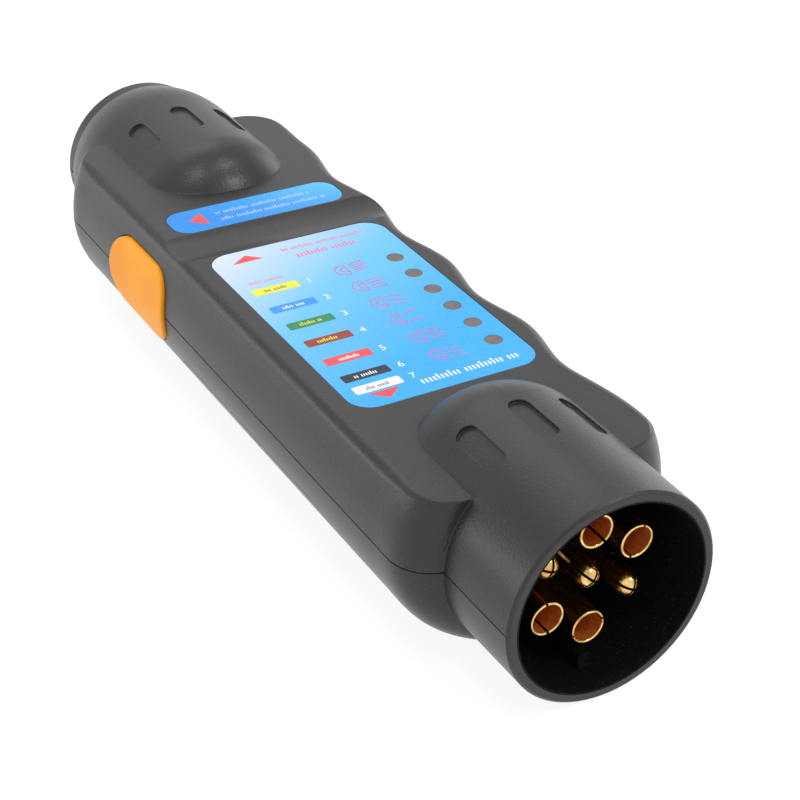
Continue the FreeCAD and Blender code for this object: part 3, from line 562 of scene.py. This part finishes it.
# Part of an ellipse about (x, y), between two angles in degrees.
def arcPath(x, y, radiusX, radiusY, start, end, steps=28):
    angle = np.radians(np.linspace(start, end, steps))
    return np.column_stack([x + radiusX * np.cos(angle), y + radiusY * np.sin(angle)])


markLook = {"pitch": 0.42, "gapKind": 4, "tallKinds": (0, 7), "shortTop": 0.18}


# Row of plain upright strokes, some tall and some short with a gap now and then, that stands for
# small print: stroke i is at left + i pitch.
def markRow(left, right, y, height, width, first=0):
    strokes = []
    pitch = height * markLook["pitch"]
    for i in range(int((right - left) / pitch)):
        kind = (i * 5 + first) % 11
        if kind == markLook["gapKind"]:
            continue
        x = left + (i + 0.5) * pitch
        top = y + height * (0.5 if kind in markLook["tallKinds"] else markLook["shortTop"])
        strokes.append((np.linspace((x, y - height / 2), (x, top), 3), width))
    return strokes


# Shares of the sign's size.
signLook = {"lensEdge": 0.2, "lensReach": 1.25, "bulbEdge": 0.3, "bulbReach": 0.55, "bulbHeight": 0.5,
            "rayStart": 0.25, "rayLength": 1.5, "raySpread": 0.75}


# Plain lamp sign: a half-round lens with its flat side towards the rays, the bulb's arc inside it and
# slanting rays.
def lampSign(x, y, size, rays, slope):
    look = signLook
    width = labelPrint["lineWidth"]
    edge = x - size * look["lensEdge"]
    lens = np.concatenate([arcPath(edge, y, size * look["lensReach"], size, 90, 270),
                           [[edge, y + size]]])
    bulb = arcPath(x - size * look["bulbEdge"], y, size * look["bulbReach"], size * look["bulbHeight"],
                   90, 270, 11)
    lines = [(lens, width), (bulb, width)]
    for ray in np.linspace(-look["raySpread"], look["raySpread"], rays):
        start = np.array([x + size * look["rayStart"], y + ray * size])
        end = start + np.array([size * look["rayLength"], slope * size])
        lines.append((np.linspace(start, end, 3), width))
    return lines


# A plain numeral, made a mesh and then given its place.
def printDigit(text, x, y, size, topZ, ink):
    curve = bpy.data.curves.new("digit", "FONT")
    curve.body = text
    curve.size = size * mm
    curve.align_x = "CENTER"
    curve.align_y = "CENTER"
    curve.extrude = labelPrint["lift"]
    holder = bpy.data.objects.new("digitHolder", curve)
    bpy.context.scene.collection.objects.link(holder)
    bpy.context.view_layer.update()
    mesh = bpy.data.meshes.new_from_object(holder.evaluated_get(bpy.context.evaluated_depsgraph_get()))
    bpy.data.objects.remove(holder)
    bpy.data.curves.remove(curve)
    mesh.transform(Matrix.Translation((x * mm, y * mm, topZ)))
    mesh.materials.clear()
    mesh.materials.append(ink)
    digit = bpy.data.objects.new("number_" + text, mesh)
    bpy.context.scene.collection.objects.link(digit)
    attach(digit, "housing")


# Colour bars, plain numbers, lamp signs, arrows and rows of plain marks on the large label.
def printMainLabel():
    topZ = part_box("main_label")[1].z
    raised = topZ + 2 * labelPrint["lift"]
    look = labelPrint
    half = look["barHeight"] / 2
    middle = (look["barLeft"] + look["barRight"]) / 2
    for index, (color, y, marksColor) in enumerate(look["bars"]):
        bar = roundedBar(look["barLeft"], look["barRight"], y - half, y + half, look["barRound"])
        marks = markRow(middle - look["barMarksReach"], middle + look["barMarksReach"], y,
                        look["barMarksHeight"], look["lineWidth"], index)
        inkLayer("bar_" + color, [bar], [], topZ, inkColors[color])
        inkLayer("bar_marks_" + color, [], marks, raised, inkColors[marksColor])
    inkLayer("arrows", look["arrows"], [], topZ, inkColors["red"])
    signs = []
    lampNodes = sorted(n for n in frame["nodes"] if n.startswith("led_"))
    for index, node in enumerate(lampNodes):
        low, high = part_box(node)
        y = (low.y + high.y) / 2 / mm
        slope = look["raySlopes"][index % 3]
        signs += lampSign(look["lampX"], y, look["lampSize"], look["lampRays"][index], slope)
    inkLayer("lamp_signs", [], signs, topZ, inkColors["rose"])
    titles = sum((markRow(*row) for row in look["titleRows"]), [])
    inkLayer("title_marks", [], titles, topZ, inkColors["pink"])
    inkLayer("foot_marks", [], markRow(*look["footRow"]), topZ, inkColors["white"])
    numeral = printInk("numeralInk", inkColors["white"])
    for number, bar in enumerate(look["bars"], 1):
        printDigit(str(number), look["numberX"], bar[1], look["numberSize"], topZ, numeral)


# Arrow and two rows of plain marks on the small label.
def printEndLabel():
    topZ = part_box("end_label")[1].z
    inkLayer("end_arrow", [endPrint["arrow"]], [], topZ, inkColors["red"])
    marks = sum((markRow(*row) for row in endPrint["rows"]), [])
    inkLayer("end_marks", [], marks, topZ, inkColors["mist"])


windowLook = {"radius": 1.86, "edgeDepth": 0.1, "rise": 0.045, "rings": 9, "steps": 48, "below": 0.02}


# Smoked film over each lamp, level with the label: a low bow whose height over the edge is
# rise (1 - (r / radius)^2), on a flat back.
def makeWindows():
    look = windowLook
    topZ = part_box("main_label")[1].z / mm
    part = np.linspace(0, 1, look["rings"])
    radius = np.concatenate([part * look["radius"], part[::-1] * look["radius"]])
    rise = look["rise"] * (1 - part ** 2)
    back = np.full(look["rings"], -look["edgeDepth"])
    height = np.concatenate([rise, back]) - look["rise"] - look["below"]
    angle = np.linspace(0, 2 * math.pi, look["steps"], endpoint=False)[:, None]
    rows = np.vstack([angle, angle[:1]])
    level = np.broadcast_to(height, (len(rows), len(radius)))
    grid = np.stack([radius * np.cos(rows), radius * np.sin(rows), level], axis=-1).reshape(-1, 3)
    faces = gridFaces(len(rows), len(radius), False).tolist()
    for node in sorted(n for n in frame["nodes"] if n.startswith("led_")):
        low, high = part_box(node)
        middle = ((low.x + high.x) / 2 / mm, (low.y + high.y) / 2 / mm, topZ)
        meshPiece(node.replace("led", "window"), (grid + middle) * mm, faces, [windowFilm], "housing",
                  None, 35)


printMainLabel()
printEndLabel()
windowFilm = lampLens("windowFilm", filmLook)
makeWindows()
print("labels printed and windows filled")


stageLook = {"size": 3.0, "color": (0.2, 0.2, 0.2), "roughness": 0.7, "glow": 0.88, "bounce": 0.6,
             "worldWhite": 1.0, "worldFill": 0.75}


# One where a camera, mirror or see-through ray looks, and nought for soft light.
def seenDirectly(tree):
    rays = tree.nodes.new("ShaderNodeLightPath")
    direct = mathNode(tree, "MAXIMUM", rays.outputs["Is Camera Ray"], rays.outputs["Is Glossy Ray"])
    return mathNode(tree, "MAXIMUM", direct, rays.outputs["Is Transmission Ray"])


# Plain pale floor that keeps the shadow, and a white world that is a little softer as a fill.
def makeStage():
    half = stageLook["size"] / 2
    corners = np.array([(-half, -half, 0), (half, -half, 0), (half, half, 0), (-half, half, 0)])
    mesh = bpy.data.meshes.new("floor")
    mesh.from_pydata(corners.tolist(), [], [(0, 1, 2, 3)])
    material, tree, shader = newMaterial("floorPaper", stageLook["color"], stageLook["roughness"])
    strength = spread(tree, seenDirectly(tree), stageLook["bounce"], stageLook["glow"], 0, 1)
    shader.inputs["Emission Color"].default_value = (1, 1, 1, 1)
    tree.links.new(strength, shader.inputs["Emission Strength"])
    mesh.materials.append(material)
    floor = bpy.data.objects.new("floor", mesh)
    bpy.context.scene.collection.objects.link(floor)
    world = bpy.data.worlds.new("studio")
    bpy.context.scene.world = world
    world.use_nodes = True
    tree = world.node_tree
    background = tree.nodes["Background"]
    background.inputs["Color"].default_value = (1, 1, 1, 1)
    strength = spread(tree, seenDirectly(tree), stageLook["worldFill"], stageLook["worldWhite"], 0, 1)
    tree.links.new(strength, background.inputs["Strength"])


lamps = {
    "behindLeft": {"place": (-0.9, 0.6, 0.13), "size": (0.9, 0.24), "power": 1.8},
    "behindHigh": {"place": (0.1, 0.8, 1.0), "size": (0.8, 0.4), "power": 1.6},
    "frontHigh": {"place": (0.4, -0.6, 0.75), "size": (0.16, 0.1), "power": 1.8},
    "right": {"place": (0.9, 0.3, 0.3), "size": (0.5, 0.4), "power": 1.2},
    "spotLeft": {"place": (-0.22, -0.1, 0.9), "size": (0.14, 0.14), "power": 1.0},
    "spotRight": {"place": (0.32, -0.1, 0.9), "size": (0.14, 0.14), "power": 1.0},
}


# Soft boxes that face the middle of the object.
def makeLamps():
    target = Vector((0, 0, axisHeight))
    for name, lamp in lamps.items():
        light = bpy.data.lights.new(name, "AREA")
        light.shape = "RECTANGLE"
        light.size, light.size_y = lamp["size"]
        light.energy = lamp["power"]
        lampObject = bpy.data.objects.new(name, light)
        lampObject.location = lamp["place"]
        lampObject.rotation_euler = (target - Vector(lamp["place"])).to_track_quat("-Z", "Y").to_euler()
        bpy.context.scene.collection.objects.link(lampObject)


cameraPlace = {"place": (-0.16093, -0.30282, 0.22069), "turn": -30.48, "height": 32.10, "roll": 1.30,
               "lens": 83.53, "sensor": 36.0, "nearest": 0.01}


# Camera from its turn about Z, its height over the floor and its roll, all in degrees.
def makeCamera():
    turn, height, roll = (math.radians(cameraPlace[k]) for k in ("turn", "height", "roll"))
    flat = math.cos(height)
    back = Vector((math.sin(turn) * flat, -math.cos(turn) * flat, math.sin(height)))
    right = Vector((math.cos(turn), math.sin(turn), 0))
    up = back.cross(right)
    rolledRight = math.cos(roll) * right + math.sin(roll) * up
    rolledUp = math.cos(roll) * up - math.sin(roll) * right
    camera = bpy.data.cameras.new("camera")
    camera.lens = cameraPlace["lens"]
    camera.sensor_width = cameraPlace["sensor"]
    camera.clip_start = cameraPlace["nearest"]
    cameraObject = bpy.data.objects.new("camera", camera)
    axes = Matrix((rolledRight, rolledUp, back)).transposed().to_4x4()
    cameraObject.matrix_world = Matrix.Translation(cameraPlace["place"]) @ axes
    bpy.context.scene.collection.objects.link(cameraObject)
    bpy.context.scene.camera = cameraObject


makeStage()
makeLamps()
makeCamera()
bpy.context.scene.view_settings.view_transform = "Standard"
print("stage, lamps and camera set")
